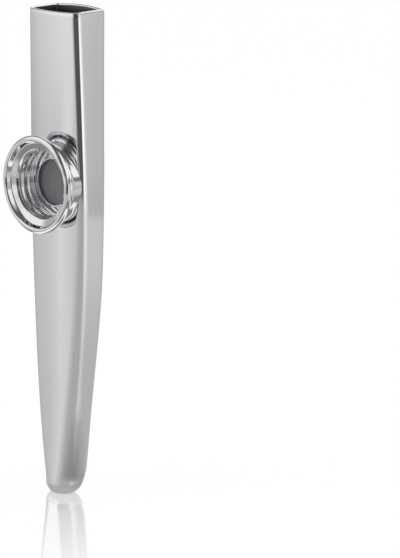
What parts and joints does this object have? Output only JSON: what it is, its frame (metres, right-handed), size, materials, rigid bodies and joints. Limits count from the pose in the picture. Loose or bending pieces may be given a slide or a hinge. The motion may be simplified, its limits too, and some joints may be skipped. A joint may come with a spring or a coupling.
{
  "type": "kazoo",
  "caption": "Metal kazoo: a flattened, tapering tube with a flared screw cap that clamps a round membrane in a turret.",
  "frame": {"origin": "on the standing surface under the middle of the whole part; the tube's own axis lies 2.3 mm behind it", "axes": "+Z along the tube from the narrow end to the mouth end, -Y out of the turret, +X to the right seen from the turret's side"},
  "size_m": [0.0236, 0.0164, 0.12],
  "materials": {
    "tube_metal": "polished",
    "turret_metal": "polished",
    "ring_plastic": "smooth",
    "film": "translucent"
  },
  "bodies": {
    "tube": {"body_tube": "tube_metal", "turret_collar": "turret_metal"},
    "membrane": {"membrane_ring": "ring_plastic", "membrane_film": "film"},
    "cap": {"turret_cap": "turret_metal"}
  },
  "joints": [
    {"name": "cap_lift", "type": "slide", "parent": "tube", "child": "membrane", "axis": [0, -1, 0], "range_m": [0, 0.0038]},
    {"name": "cap_turn", "type": "hinge", "parent": "membrane", "child": "cap", "pos_m": [0, 0, 0.078], "axis": [0, -1, 0], "range_deg": [0, 720]}
  ],
  "couplings": [
    {"joint": "cap_lift", "follows": "cap_turn", "m_per_rad": 0.00030239}
  ]
}
